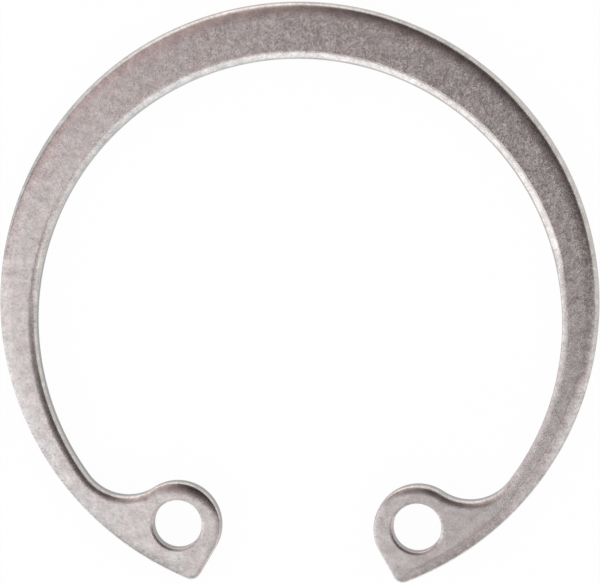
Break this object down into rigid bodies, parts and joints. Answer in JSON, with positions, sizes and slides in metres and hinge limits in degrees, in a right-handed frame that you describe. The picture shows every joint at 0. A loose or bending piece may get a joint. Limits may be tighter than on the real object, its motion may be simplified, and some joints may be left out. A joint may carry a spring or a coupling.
{
  "type": "internal retaining ring",
  "caption": "Flat open spring ring with a tapering section and a holed lug at each end, snapped into a groove in a bore to hold a part in place.",
  "frame": {"origin": "on the axis of the outer rim, in the plane of the lower face", "axes": "+Z is the ring's axis, from the sharp-edged lower face to the upper face with the rolled edges; -Y points from the axis to the middle of the gap between the lugs; +X completes a right-handed frame"},
  "size_m": [0.0344, 0.0332, 0.0012],
  "materials": {
    "spring_steel": "satin, tumbled"
  },
  "bodies": {
    "root": {"retaining_ring": "spring_steel"}
  },
  "joints": []
}
